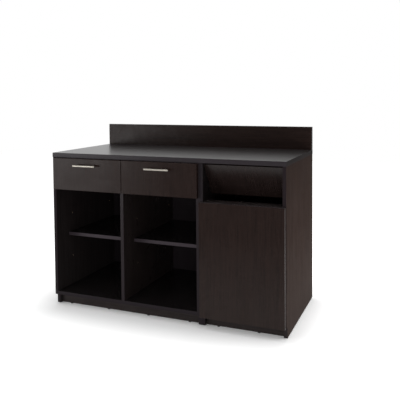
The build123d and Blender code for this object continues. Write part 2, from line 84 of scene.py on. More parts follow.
# Metal and mouldings
SCRATCH_DARKER = 0.8
SMUDGE_ON_METAL = 0.1
SCRATCH_STRETCH = 30.0
SCRATCH_RELIEF = 0.0001
SPARK_RELIEF = 0.0002
SPARK_SPREAD = 0.15
HANDLED_LIGHTER = 1.5


def new_material(name):
    """A node material with only its output and its Principled shader."""
    material = bpy.data.materials.new(name)
    material.use_nodes = True
    tree = material.node_tree
    return material, tree, tree.nodes["Principled BSDF"]


def add(tree, kind, **values):
    """One shader node, with its settings and its unlinked inputs."""
    node = tree.nodes.new(kind)
    for key, value in values.items():
        if key in node.inputs:
            node.inputs[key].default_value = value
        else:
            setattr(node, key, value)
    return node


def new_group(name, inputs, outputs):
    """An empty node group with named sockets. Inputs are (name, kind, value), outputs (name, kind)."""
    group = bpy.data.node_groups.new(name, "ShaderNodeTree")
    for label, kind, value in inputs:
        socket = group.interface.new_socket(name=label, in_out="INPUT", socket_type=kind)
        if value is not None:
            socket.default_value = value
    for label, kind in outputs:
        group.interface.new_socket(name=label, in_out="OUTPUT", socket_type=kind)
    return group, group.nodes.new("NodeGroupInput"), group.nodes.new("NodeGroupOutput")


def place(tree, group, **values):
    """Puts a node group in a material with its own values."""
    node = tree.nodes.new("ShaderNodeGroup")
    node.node_tree = group
    for key, value in values.items():
        node.inputs[key].default_value = value
    return node


def math_node(tree, operation, first, second=0.0, clamp=False):
    """A Math node. Each input is a socket or a number."""
    node = tree.nodes.new("ShaderNodeMath")
    node.operation = operation
    node.use_clamp = clamp
    for slot, value in enumerate((first, second)):
        if isinstance(value, (int, float)):
            node.inputs[slot].default_value = value
        else:
            tree.links.new(value, node.inputs[slot])
    return node.outputs[0]


def ranged(tree, value, from_low, from_high, to_low, to_high):
    """A Map Range node, clamped."""
    node = add(tree, "ShaderNodeMapRange")
    tree.links.new(value, node.inputs["Value"])
    for key, number in (
        ("From Min", from_low),
        ("From Max", from_high),
        ("To Min", to_low),
        ("To Max", to_high),
    ):
        node.inputs[key].default_value = number
    return node.outputs["Result"]


def mask(tree, value, start, full):
    """A mask from a value: 0 at the start and below it, 1 where it is full."""
    return ranged(tree, value, start, full, 0.0, 1.0)


def mixed(tree, factor, first, second):
    """A colour mix. first and second are sockets or colours."""
    node = add(tree, "ShaderNodeMix", data_type="RGBA", blend_type="MIX")
    if isinstance(factor, (int, float)):
        node.inputs["Factor"].default_value = factor
    else:
        tree.links.new(factor, node.inputs["Factor"])
    for key, value in ((6, first), (7, second)):
        if isinstance(value, tuple):
            node.inputs[key].default_value = value
        else:
            tree.links.new(value, node.inputs[key])
    return node.outputs[2]


def scaled(colour, factor):
    """A colour made lighter or darker."""
    return tuple(part * factor for part in colour[:3]) + (1.0,)


def wood_grain_group():
    """Printed wood grain: long streaks, short pores and slow bands of colour."""
    group, given, put = new_group(
        "printed_wood_grain",
        [
            ("Vector", "NodeSocketVector", None),
            ("Fineness", "NodeSocketFloat", 1.0),
        ],
        [
            ("Streaks", "NodeSocketFloat"),
            ("Pores", "NodeSocketFloat"),
            ("Bands", "NodeSocketFloat"),
        ],
    )
    # slow sideways wander, so that the streaks aren't ruled lines
    wander = add(group, "ShaderNodeTexNoise", Scale=1.3, Detail=2.0)
    group.links.new(given.outputs["Vector"], wander.inputs["Vector"])
    shift = add(group, "ShaderNodeVectorMath", operation="SCALE", Scale=0.35)
    group.links.new(wander.outputs["Color"], shift.inputs[0])
    bent = add(group, "ShaderNodeVectorMath", operation="ADD")
    group.links.new(given.outputs["Vector"], bent.inputs[0])
    group.links.new(shift.outputs[0], bent.inputs[1])
    fine = add(group, "ShaderNodeVectorMath", operation="SCALE")
    group.links.new(bent.outputs[0], fine.inputs[0])
    group.links.new(given.outputs["Fineness"], fine.inputs["Scale"])

    streaks = add(group, "ShaderNodeTexNoise", Scale=9.0, Detail=6.0, Roughness=0.62)
    group.links.new(fine.outputs[0], streaks.inputs["Vector"])
    pores = add(group, "ShaderNodeTexNoise", Scale=46.0, Detail=3.0, Roughness=0.5)
    group.links.new(fine.outputs[0], pores.inputs["Vector"])
    bands = add(group, "ShaderNodeTexNoise", Scale=2.2, Detail=2.0, Roughness=0.5)
    group.links.new(fine.outputs[0], bands.inputs["Vector"])
    group.links.new(mask(group, streaks.outputs["Fac"], 0.3, 0.7), put.inputs["Streaks"])
    group.links.new(mask(group, pores.outputs["Fac"], 0.56, 0.72), put.inputs["Pores"])
    group.links.new(mask(group, bands.outputs["Fac"], 0.35, 0.65), put.inputs["Bands"])
    return group


def edge_wear_group():
    """A mask of the corners of a piece, broken up by noise."""
    group, given, put = new_group(
        "edge_wear",
        [("Radius", "NodeSocketFloat", 0.0015), ("Breakup", "NodeSocketFloat", 60.0)],
        [("Edge", "NodeSocketFloat")],
    )
    soft = add(group, "ShaderNodeBevel", samples=4)
    group.links.new(given.outputs["Radius"], soft.inputs["Radius"])
    flat = add(group, "ShaderNodeNewGeometry")
    dot = add(group, "ShaderNodeVectorMath", operation="DOT_PRODUCT")
    group.links.new(soft.outputs["Normal"], dot.inputs[0])
    group.links.new(flat.outputs["True Normal"], dot.inputs[1])
    corner = mask(group, dot.outputs["Value"], 0.99, 0.8)
    where = add(group, "ShaderNodeTexCoord")
    noise = add(group, "ShaderNodeTexNoise", Detail=4.0, Roughness=0.7)
    group.links.new(where.outputs["Object"], noise.inputs["Vector"])
    group.links.new(given.outputs["Breakup"], noise.inputs["Scale"])
    chips = ranged(group, noise.outputs["Fac"], 0.35, 0.62, 0.25, 1.0)
    group.links.new(math_node(group, "MULTIPLY", corner, chips), put.inputs["Edge"])
    return group


def handling_group():
    """Faint smudges from hands and cloths, dust on what faces up, and painted light near the floor: lighter
    towards the bottom, standing for light bounced up off the floor.
    """
    group, given, put = new_group(
        "handling_and_floor_bounce",
        [("Smudge Scale", "NodeSocketFloat", 7.0), ("Floor Bounce Height", "NodeSocketFloat", 0.5)],
        [("Smudges", "NodeSocketFloat"), ("Dust", "NodeSocketFloat"), ("Floor Bounce", "NodeSocketFloat")],
    )
    where = add(group, "ShaderNodeTexCoord")
    broad = add(group, "ShaderNodeTexNoise", Detail=5.0, Roughness=0.6, Distortion=0.6)
    group.links.new(where.outputs["Object"], broad.inputs["Vector"])
    group.links.new(given.outputs["Smudge Scale"], broad.inputs["Scale"])
    group.links.new(mask(group, broad.outputs["Fac"], 0.35, 0.7), put.inputs["Smudges"])
    flat = add(group, "ShaderNodeNewGeometry")
    parts = add(group, "ShaderNodeSeparateXYZ")
    group.links.new(flat.outputs["True Normal"], parts.inputs[0])
    upward = mask(group, parts.outputs["Z"], 0.6, 1.0)
    specks = add(group, "ShaderNodeTexNoise", Scale=420.0, Detail=3.0, Roughness=0.8)
    group.links.new(where.outputs["Object"], specks.inputs["Vector"])
    fine = mask(group, specks.outputs["Fac"], 0.5, 0.75)
    group.links.new(math_node(group, "MULTIPLY", upward, fine), put.inputs["Dust"])
    # painted light: strongest at the floor, fading to nothing at the given height, made patchy by the broad
    # noise
    height = add(group, "ShaderNodeSeparateXYZ")
    group.links.new(where.outputs["Object"], height.inputs[0])
    rise = math_node(group, "DIVIDE", height.outputs["Z"], given.outputs["Floor Bounce Height"])
    low = ranged(group, rise, 0.0, 1.0, 1.0, 0.0)
    patchy = ranged(group, broad.outputs["Fac"], 0.3, 0.7, 0.8, 1.0)
    group.links.new(math_node(group, "MULTIPLY", low, patchy), put.inputs["Floor Bounce"])
    return group


def banding_group():
    """Masks of the banded edges of a board: Band for those to the front and back, Crown for the top one."""
    group, given, put = new_group(
        "edge_banding",
        [("Reach", "NodeSocketFloat", 0.9)],
        [("Band", "NodeSocketFloat"), ("Crown", "NodeSocketFloat")],
    )
    flat = add(group, "ShaderNodeNewGeometry")
    parts = add(group, "ShaderNodeSeparateXYZ")
    group.links.new(flat.outputs["True Normal"], parts.inputs[0])
    facing = math_node(group, "ABSOLUTE", parts.outputs["Y"])
    group.links.new(math_node(group, "GREATER_THAN", facing, given.outputs["Reach"]), put.inputs["Band"])
    top = math_node(group, "GREATER_THAN", parts.outputs["Z"], given.outputs["Reach"])
    group.links.new(top, put.inputs["Crown"])
    return group


def brushing_group():
    """Fine parallel scratches of brushed or drawn metal."""
    group, given, put = new_group(
        "brushing",
        [("Vector", "NodeSocketVector", None)],
        [("Scratches", "NodeSocketFloat")],
    )
    lines = add(group, "ShaderNodeTexNoise", Scale=60.0, Detail=5.0, Roughness=0.75)
    group.links.new(given.outputs["Vector"], lines.inputs["Vector"])
    group.links.new(mask(group, lines.outputs["Fac"], 0.3, 0.7), put.inputs["Scratches"])
    return group


# Tones of the banded edges, of wear and dust, and of painted light: the shelf edge tone is lightened to
# paint light, the door top tone is a painted highlight, and the dust tone also paints light bounced off the
# floor
BANDING_TONE = (0.0145, 0.0112, 0.0132, 1.0)
TOP_BANDING_TONE = (0.0235, 0.0195, 0.0225, 1.0)
# painted light: shelf edge banding made lighter than the other banding, standing for light reaching the
# recessed shelf edges
SHELF_BANDING_LIT_TONE = (0.0365, 0.0292, 0.0341, 1.0)
# painted highlight along the door's top edge
DOOR_TOP_HIGHLIGHT_TONE = (0.0420, 0.0330, 0.0345, 1.0)
WORN_TONE = (0.045, 0.036, 0.036, 1.0)
# real dust on what faces up, and also the colour of the painted floor-bounce light on lower parts
DUST_AND_BOUNCE_TONE = (0.3, 0.29, 0.28, 1.0)

WOOD_GRAIN = wood_grain_group()
EDGE_WEAR = edge_wear_group()
HANDLING_AND_BOUNCE = handling_group()
BANDING = banding_group()
BRUSHING = brushing_group()


def stretched_place(tree, along, stretch=GRAIN_STRETCH):
    """Object coordinates squeezed across one axis, or two on a slope, so that textures run with it."""
    where = add(tree, "ShaderNodeTexCoord")
    scale = [1.0 if axis in along else stretch for axis in "XYZ"]
    mapping = add(tree, "ShaderNodeMapping")
    mapping.inputs["Scale"].default_value = scale
    tree.links.new(where.outputs["Object"], mapping.inputs["Vector"])
    return mapping.outputs["Vector"]


def laminate(
    name, along, tones, roughness, gloss, band=BANDING_TONE, crown=None, relief=0.2, unevenness=1.0, floor_bounce=0.0
):
    """Wood-print laminate on board, with its grain along one axis, and banded front and back edges. Its last
    option paints light bounced up off the floor onto its lower part, and a crown colour, where given, paints
    a highlight on its top edge.
    """
    dark, light = tones
    material, tree, shader = new_material(name)
    shader.inputs["Specular IOR Level"].default_value = gloss
    grain = place(tree, WOOD_GRAIN, Fineness=1.0)
    tree.links.new(stretched_place(tree, along), grain.inputs["Vector"])
    smudges_dust_bounce = place(tree, HANDLING_AND_BOUNCE)
    worn = place(tree, EDGE_WEAR)

    tone = mixed(tree, grain.outputs["Streaks"], dark, light)
    shaded = mixed(
        tree,
        math_node(tree, "MULTIPLY", grain.outputs["Bands"], SLOW_BAND_SHARE),
        tone,
        scaled(light, SLOW_BAND_LIGHTER),
    )
    tone = mixed(
        tree,
        math_node(tree, "MULTIPLY", grain.outputs["Pores"], PORE_SHARE),
        shaded,
        scaled(dark, PORE_DARKER),
    )
    # banded edges in their own tones, except where a tone is lightened to paint light; the crown paints a
    # highlight on the top edge
    for edge, share, colour in (("Band", BANDING_SHARE, band), ("Crown", CROWN_SHARE, crown)):
        if colour:
            edging = place(tree, BANDING)
            cover = math_node(tree, "MULTIPLY", edging.outputs[edge], share)
            tone = mixed(tree, cover, tone, colour)
    # wear and dust are real; the last entry paints light bounced off the floor onto the lower part
    for where, share, colour in (
        (worn.outputs["Edge"], WORN_SHARE, WORN_TONE),
        (smudges_dust_bounce.outputs["Dust"], DUST_SHARE, DUST_AND_BOUNCE_TONE),
        (smudges_dust_bounce.outputs["Floor Bounce"], floor_bounce, DUST_AND_BOUNCE_TONE),
    ):
        tone = mixed(tree, math_node(tree, "MULTIPLY", where, share), tone, colour)
    tree.links.new(tone, shader.inputs["Base Color"])

    spread = SMUDGE_SPREAD * unevenness
    smudged = ranged(tree, smudges_dust_bounce.outputs["Smudges"], 0.0, 1.0, roughness - spread, roughness + spread)
    grained = math_node(tree, "MULTIPLY", grain.outputs["Streaks"], spread)
    tree.links.new(math_node(tree, "ADD", smudged, grained, clamp=True), shader.inputs["Roughness"])

    height = math_node(
        tree,
        "SUBTRACT",
        math_node(tree, "MULTIPLY", grain.outputs["Streaks"], STREAK_RISE),
        math_node(tree, "MULTIPLY", grain.outputs["Pores"], PORE_DIP),
    )
    bump = add(tree, "ShaderNodeBump", Strength=relief, Distance=LAMINATE_RELIEF)
    tree.links.new(height, bump.inputs["Height"])
    tree.links.new(bump.outputs["Normal"], shader.inputs["Normal"])
    return material


def polish(material, roughness):
    """A clear coat on the faces that look up, and a thin one on those that look to the front or back."""
    tree = material.node_tree
    shader = tree.nodes["Principled BSDF"]
    shader.inputs["Coat IOR"].default_value = COAT_DENSITY
    shader.inputs["Coat Roughness"].default_value = roughness
    flat = add(tree, "ShaderNodeNewGeometry")
    parts = add(tree, "ShaderNodeSeparateXYZ")
    tree.links.new(flat.outputs["True Normal"], parts.inputs[0])
    lying = ranged(tree, parts.outputs["Z"], COAT_FROM, COAT_FULL, 0.0, COAT_UP)
    facing = math_node(tree, "ABSOLUTE", parts.outputs["Y"])
    fronting = ranged(tree, facing, COAT_FROM, COAT_FULL, 0.0, COAT_FORWARD)
    tree.links.new(math_node(tree, "ADD", lying, fronting, clamp=True), shader.inputs["Coat Weight"])


def lying_board(name, tones, coat_roughness=0.26, **options):
    """Laminate for boards that lie: almost no gloss of their own under a clear coat."""
    material = laminate(name, "X", tones, roughness=0.5, gloss=0.006, relief=0.06, **options)
    polish(material, coat_roughness)
    return material


def metal(name, colour, roughness, along=None, brush=0.12):
    """Plated or brushed metal, with scratches along one axis where it is given."""
    material, tree, shader = new_material(name)
    shader.inputs["Metallic"].default_value = 1.0
    scratches = place(tree, BRUSHING)
    vector = stretched_place(tree, along or "X", stretch=SCRATCH_STRETCH if along else 1.0)
    tree.links.new(vector, scratches.inputs["Vector"])
    smudges_dust_bounce = place(tree, HANDLING_AND_BOUNCE, **{"Smudge Scale": 30.0})
    tone = mixed(tree, scratches.outputs["Scratches"], scaled(colour, SCRATCH_DARKER), colour)
    tree.links.new(tone, shader.inputs["Base Color"])
    duller = roughness + SMUDGE_ON_METAL
    rough = ranged(tree, smudges_dust_bounce.outputs["Smudges"], 0.0, 1.0, roughness, duller)
    streaked = math_node(tree, "MULTIPLY", scratches.outputs["Scratches"], brush)
    tree.links.new(math_node(tree, "ADD", rough, streaked, clamp=True), shader.inputs["Roughness"])
    bump = add(tree, "ShaderNodeBump", Strength=0.2, Distance=SCRATCH_RELIEF)
    tree.links.new(scratches.outputs["Scratches"], bump.inputs["Height"])
    tree.links.new(bump.outputs["Normal"], shader.inputs["Normal"])
    return material


def moulded(name, colour, roughness, coarse):
    """Moulded plastic or rubber with a fine spark-eroded texture."""
    material, tree, shader = new_material(name)
    where = add(tree, "ShaderNodeTexCoord")
    fine = add(tree, "ShaderNodeTexNoise", Scale=coarse, Detail=3.0, Roughness=0.6)
    tree.links.new(where.outputs["Object"], fine.inputs["Vector"])
    smudges_dust_bounce = place(tree, HANDLING_AND_BOUNCE, **{"Smudge Scale": 40.0})
    tone = mixed(tree, smudges_dust_bounce.outputs["Smudges"], colour, scaled(colour, HANDLED_LIGHTER))
    tree.links.new(tone, shader.inputs["Base Color"])
    rough = ranged(tree, fine.outputs["Fac"], 0.3, 0.7, roughness, roughness + SPARK_SPREAD)
    tree.links.new(rough, shader.inputs["Roughness"])
    bump = add(tree, "ShaderNodeBump", Strength=0.3, Distance=SPARK_RELIEF)
    tree.links.new(fine.outputs["Fac"], bump.inputs["Height"])
    tree.links.new(bump.outputs["Normal"], shader.inputs["Normal"])
    return material


# Finishes: dark and light tones of the wood print, of the bare core and of beech. The deflector and shaded
# sets are darker copies of the print that paint shade; the kick, ledge, board and back sets are lighter
# copies that paint light.
FRONT_TONES = ((0.0056, 0.0028, 0.0023, 1.0), (0.0132, 0.0071, 0.0058, 1.0))
# painted shade: a darker copy of the front print, so the deflector in the slot looks shaded
DEFLECTOR_SHADED_TONES = ((0.0050, 0.0030, 0.0027, 1.0), (0.0119, 0.0074, 0.0066, 1.0))
# painted light: a lighter, greyer copy of the print for the toe kick, standing for light bounced off the
# floor
KICK_LIT_TONES = ((0.0078, 0.0057, 0.0055, 1.0), (0.0166, 0.0127, 0.0123, 1.0))
# painted light: a much lighter copy of the print for the ledge top, standing for light and reflection in the
# slot's shade
LEDGE_LIT_TONES = ((0.0230, 0.0180, 0.0178, 1.0), (0.0460, 0.0370, 0.0364, 1.0))
# painted light: a lighter copy of the print for the inner boards, standing for light inside the bays
BOARD_LIT_TONES = ((0.0088, 0.0064, 0.0062, 1.0), (0.0163, 0.0122, 0.0118, 1.0))
# painted light: a lighter, greyer copy of the print for the back panels, standing for light reaching the
# backs of the bays
BACK_LIT_TONES = ((0.0150, 0.0126, 0.0132, 1.0), (0.0258, 0.0222, 0.0230, 1.0))
# painted shade: a darker copy of the print for boards that lie, the slot side and the countertop
SHADED_TONES = ((0.0045, 0.0036, 0.0036, 1.0), (0.0085, 0.0070, 0.0072, 1.0))
SIDE_TONES = ((0.0085, 0.0052, 0.0043, 1.0), (0.0210, 0.0140, 0.0118, 1.0))
LEFT_SIDE_TONES = ((0.0072, 0.0056, 0.0056, 1.0), (0.0160, 0.0126, 0.0126, 1.0))
CORE_TONES = ((0.26, 0.19, 0.12, 1.0), (0.5, 0.4, 0.28, 1.0))
BEECH_TONES = ((0.42, 0.28, 0.15, 1.0), (0.6, 0.43, 0.25, 1.0))

# tones of the metals and mouldings
PULL_NICKEL = (0.28, 0.26, 0.23, 1.0)
SLIDE_ZINC = (0.3, 0.31, 0.32, 1.0)
HINGE_NICKEL = (0.6, 0.59, 0.57, 1.0)
BALL_STEEL = (0.62, 0.62, 0.63, 1.0)
GLIDE_BLACK = (0.012, 0.012, 0.012, 1.0)
BUMPER_GREY = (0.05, 0.05, 0.05, 1.0)

# faces that more than one laminate has
FRONT_FACE = {"roughness": 0.26, "gloss": 0.05, "band": None}
BOARD_FACE = {"roughness": 0.28, "gloss": 0.05}
END_FACE = {"roughness": 0.6, "gloss": 0.003}

# the fronts, door, kick and end panels get painted floor-bounce light towards the bottom
front_laminate = laminate("espresso_front", "Z", FRONT_TONES, floor_bounce=0.036, **FRONT_FACE)
# the door's top edge gets a painted highlight
door_laminate = laminate("espresso_door", "Z", FRONT_TONES, crown=DOOR_TOP_HIGHLIGHT_TONE, floor_bounce=0.036, **FRONT_FACE)
deflector_laminate = laminate(
    "espresso_deflector",
    "YZ",
    DEFLECTOR_SHADED_TONES,
    roughness=0.26,
    gloss=0.22,
    band=None,
    relief=0.06,
    unevenness=0.3,
)
kick_laminate = laminate("espresso_toe_kick", "X", KICK_LIT_TONES, floor_bounce=0.018, **FRONT_FACE)
splash_laminate = laminate("espresso_backsplash", "X", FRONT_TONES, **FRONT_FACE)
upright_laminate = laminate("espresso_upright_board", "Z", BOARD_LIT_TONES, **BOARD_FACE)
back_laminate = laminate("espresso_back_panel", "Z", BACK_LIT_TONES, roughness=0.32, gloss=0.05)
shaded_laminate = laminate("espresso_slot_side", "Z", SHADED_TONES, **BOARD_FACE)
lying_laminate = lying_board("espresso_lying_board", SHADED_TONES)
ledge_laminate = lying_board("espresso_ledge", LEDGE_LIT_TONES)
# the shelf's front edge is painted lighter, standing for light reaching it
shelf_laminate = lying_board("espresso_shelf", SHADED_TONES, band=SHELF_BANDING_LIT_TONE)
top_laminate = lying_board(
    "espresso_countertop", SHADED_TONES, coat_roughness=0.3, band=TOP_BANDING_TONE, unevenness=0.3
)
inward_laminate = laminate("espresso_drawer_side", "Y", BOARD_LIT_TONES, **BOARD_FACE)
side_laminate = laminate("espresso_end_panel", "Z", SIDE_TONES, floor_bounce=0.03, **END_FACE)
left_side_laminate = laminate("espresso_left_end_panel", "Z", LEFT_SIDE_TONES, floor_bounce=0.015, **END_FACE)
bare_core = laminate("bare_board_core", "X", CORE_TONES, roughness=0.7, gloss=0.2, band=None)
dowel_beech = laminate("beech_dowel", "Z", BEECH_TONES, roughness=0.6, gloss=0.3, band=None)
nickel = metal("brushed_nickel", PULL_NICKEL, roughness=0.3, along="X")
zinc = metal("zinc_plate", SLIDE_ZINC, roughness=0.38, along="Y")
hinge_plating = metal("nickel_plate", HINGE_NICKEL, roughness=0.26)
ball_steel = metal("polished_ball_steel", BALL_STEEL, roughness=0.1, brush=0.03)
glide_plastic = moulded("black_glide_plastic", GLIDE_BLACK, roughness=0.5, coarse=900.0)
bumper_rubber = moulded("bumper_elastomer", BUMPER_GREY, roughness=0.45, coarse=1500.0)


FINISH_OF = {
    "unit_bolts": zinc,
    "countertop_screws": zinc,
    "shelf_pins": hinge_plating,
    "floor_glides": glide_plastic,
    "door_bumpers": bumper_rubber,
    "backsplash_dowels": dowel_beech,
    "countertop": top_laminate,
    "left_outer_side": left_side_laminate,
    "right_outer_side": side_laminate,
    "right_inner_side": shaded_laminate,
    "left_drawer_front": front_laminate,
    "right_drawer_front": front_laminate,
    "door_panel": door_laminate,
    "deflector_board": deflector_laminate,
    "left_toe_kick": kick_laminate,
    "right_toe_kick": kick_laminate,
    "backsplash": splash_laminate,
    "left_shelf": shelf_laminate,
    "right_shelf": shelf_laminate,
    "ledge_board": ledge_laminate,
}


def finish_for(node):
    """The finish of a node: its own, or else that of the kind of piece that its name tells."""
    if node in FINISH_OF:
        return FINISH_OF[node]
    if "pull_" in node:
        return nickel
    if "slide_" in node:
        return zinc
    if node.startswith("hinge_"):
        return hinge_plating
    if "_drawer_" in node and node.endswith("_side"):
        return inward_laminate
    if node.endswith("_back_panel"):
        return back_laminate
    if node.endswith(("_side", "divider")):
        return upright_laminate
    return lying_laminate


BOARD_FINISHES = (
    front_laminate,
    door_laminate,
    deflector_laminate,
    kick_laminate,
    splash_laminate,
    shelf_laminate,
    upright_laminate,
    back_laminate,
    shaded_laminate,
    ledge_laminate,
    lying_laminate,
    inward_laminate,
    side_laminate,
    left_side_laminate,
    top_laminate,
)


def ease_edges(obj, width):
    """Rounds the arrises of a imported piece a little, as its edging or rolling leaves them."""
    weld = obj.modifiers.new("weld", "WELD")
    weld.merge_threshold = WELD_REACH
    bevel = obj.modifiers.new("eased edge", "BEVEL")
    bevel.width = width
    bevel.segments = EASED_EDGE_SEGMENTS
    bevel.limit_method = "ANGLE"
    bevel.angle_limit = math.radians(EASED_EDGE_ANGLE)
    bevel.harden_normals = True


for name, obj in nodes.items():
    finish = finish_for(name)
    obj.data.materials.clear()
    obj.data.materials.append(finish)
    if finish in BOARD_FINISHES:
        ease_edges(obj, EASED_EDGE)


# Small detail that the CAD leaves out: screws, nails, bored holes and the slides' balls in their cages
# a head's rim points, in degrees, each beside a point of its cross
HEAD_ANGLES = [90 * quarter + turn for quarter in range(4) for turn in (-17, 17, 45)]

# a head's dome, as shares of its radius and of its height, and its cross, as shares of its radius
DOME_PROFILE = ((1.0, 0.0), (1.0, 0.35), (0.86, 0.8), (0.64, 1.0))
CROSS_ARM = 0.5
CROSS_HALF_WIDTH = 0.16
CROSS_TAPER = 0.75

# screw and nail heads: radius, height and depth of the cross recess
SLIDE_HEAD = (0.0029, 0.0004, 0.0003)
DRAWER_HEAD = (0.0040, 0.0022, 0.0014)
HINGE_HEAD = (0.0036, 0.0012, 0.0008)
ARM_HEAD = (0.0030, 0.0011, 0.0007)
NAIL_HEAD = (0.0019, 0.0001, 0)

# slide races, in metres from the bay wall or from the slide's middle line
OUTER_RACE = {"ball": 0.0021, "off_wall": 0.0070, "off_middle": 0.01915, "web": 0.00215}
INNER_RACE = {"ball": 0.0016, "off_wall": 0.0074, "off_middle": 0.01415, "web": 0.0050}
CAGE_LIP = 0.0092
CAGE_STEEL = 0.0005
CAGE_LENGTH = 0.090
CAGE_BRIDGE = 0.014
CAGE_RIM = 0.006
CAGE_FROM_END = 0.005
BALLS_IN_A_ROW = 7
BALL_SEGMENTS = 12
BALL_LEVELS = 8
SLIDE_STEEL = 0.0012
SLIDE_THICKNESS = 0.0127
CABINET_SCREWS = (0.037, 0.237, 0.457)
DRAWER_SCREWS = (0.037, 0.237, 0.437)

PULL_HALF_SPACING = 0.048
FRONT_SCREW_REACH = 0.150
FRONT_SCREW_DOWN = (0.077, 0.017)

HINGE_HALF_PLATE = 0.024
PLATE_SCREW_RISE = 0.016
CUP_SCREW_RISE = 0.0225
CUP_SCREW_INWARD = 0.0240
CUP_FLANGE = 0.0012
ARM_WEB_INWARD = 0.0330
ARM_SCREW_FROM_FRONT = (0.034, 0.062)

PIN_HOLE_RADIUS = 0.0025
PIN_HOLE_DEPTH = 0.0090
PIN_HOLE_SIDES = 12
BARE_SKIN = 0.0001
PIN_SPACING = 0.128

NAIL_INSET = 0.005
NAIL_SPACING = 0.150


def make_piece(name, shape, finish, body):
    """A named piece of hardware from a bmesh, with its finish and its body."""
    bmesh.ops.recalc_face_normals(shape, faces=shape.faces)
    mesh = bpy.data.meshes.new(name)
    shape.to_mesh(mesh)
    shape.free()
    mesh.materials.append(finish)
    piece = bpy.data.objects.new(name, mesh)
    bpy.context.scene.collection.objects.link(piece)
    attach(piece, body)
    return piece


def add_head(shape, centre, outward, radius, height, recess):
    """A low domed head that stands on a face, with a tapered cross recess unless recess is 0."""
    stand = Matrix.Translation(centre) @ Vector(outward).to_track_quat("Z", "Y").to_matrix().to_4x4()
    angles = [math.radians(degrees) for degrees in HEAD_ANGLES]
    rings = []
    for share, rise in DOME_PROFILE:
        reach = radius * share
        rings.append([(reach * math.cos(a), reach * math.sin(a), height * rise) for a in angles])
    if recess:
        arm, half = CROSS_ARM * radius, CROSS_HALF_WIDTH * radius
        quarter = ((arm, -half), (arm, half), (half, half))
        outline = list(quarter) + [(-y, x) for x, y in quarter]
        outline += [(-x, -y) for x, y in outline]
        rings.append([(x, y, height) for x, y in outline])
        rings.append([(x * CROSS_TAPER, y * CROSS_TAPER, height - recess) for x, y in outline])
    loops = [[shape.verts.new(stand @ Vector(point)) for point in ring] for ring in rings]
    for low, high in zip(loops, loops[1:]):
        for here in range(len(low)):
            after = (here + 1) % len(low)
            shape.faces.new((low[here], low[after], high[after], high[here]))
    shape.faces.new(loops[-1])
    shape.faces.new(tuple(reversed(loops[0])))


def add_cage(shape, wall, inward, middle_z, start, race):
    """The folded sheet of a ball cage, open between its bridges. It is given its thickness later."""
    web = wall + inward * race["web"]
    lip = wall + inward * CAGE_LIP
    high, rim = race["off_middle"], race["off_middle"] - CAGE_RIM
    across = ((lip, high), (web, high), (web, rim), (web, -rim), (web, -high), (lip, -high))
    half = CAGE_LENGTH / 2
    along = (0.0, CAGE_BRIDGE, half - CAGE_BRIDGE / 2, half + CAGE_BRIDGE / 2)
    along += (CAGE_LENGTH - CAGE_BRIDGE, CAGE_LENGTH)
    grid = [[shape.verts.new((x, start + y, middle_z + z)) for x, z in across] for y in along]
    for row in range(len(along) - 1):
        for column in range(len(across) - 1):
            # the web is open between the bridges
            if column == 2 and row in (1, 3):
                continue
            near, far = grid[row], grid[row + 1]
            shape.faces.new((near[column], near[column + 1], far[column + 1], far[column]))


def add_ball(shape, centre, radius):
    """A small ball of level rings between two poles."""
    x, y, z = centre
    turns = [math.tau * number / BALL_SEGMENTS for number in range(BALL_SEGMENTS)]
    rings = []
    for level in range(1, BALL_LEVELS):
        fall = math.pi * level / BALL_LEVELS
        out, rise = radius * math.sin(fall), radius * math.cos(fall)
        spots = [(x + out * math.cos(turn), y + out * math.sin(turn), z + rise) for turn in turns]
        rings.append([shape.verts.new(spot) for spot in spots])
    top, foot = shape.verts.new((x, y, z + radius)), shape.verts.new((x, y, z - radius))
    for here in range(BALL_SEGMENTS):
        after = (here + 1) % BALL_SEGMENTS
        shape.faces.new((top, rings[0][here], rings[0][after]))
        shape.faces.new((foot, rings[-1][after], rings[-1][here]))
        for above, below in zip(rings, rings[1:]):
            shape.faces.new((above[here], below[here], below[after], above[after]))


def add_balls(shape, wall, inward, middle_z, start, race):
    """The two rows of balls that a cage holds."""
    x = wall + inward * race["off_wall"]
    pitch = CAGE_LENGTH / BALLS_IN_A_ROW
    for row in (-1, 1):
        for number in range(BALLS_IN_A_ROW):
            y = start + pitch * (number + 0.5)
            add_ball(shape, (x, y, middle_z + row * race["off_middle"]), race["ball"])


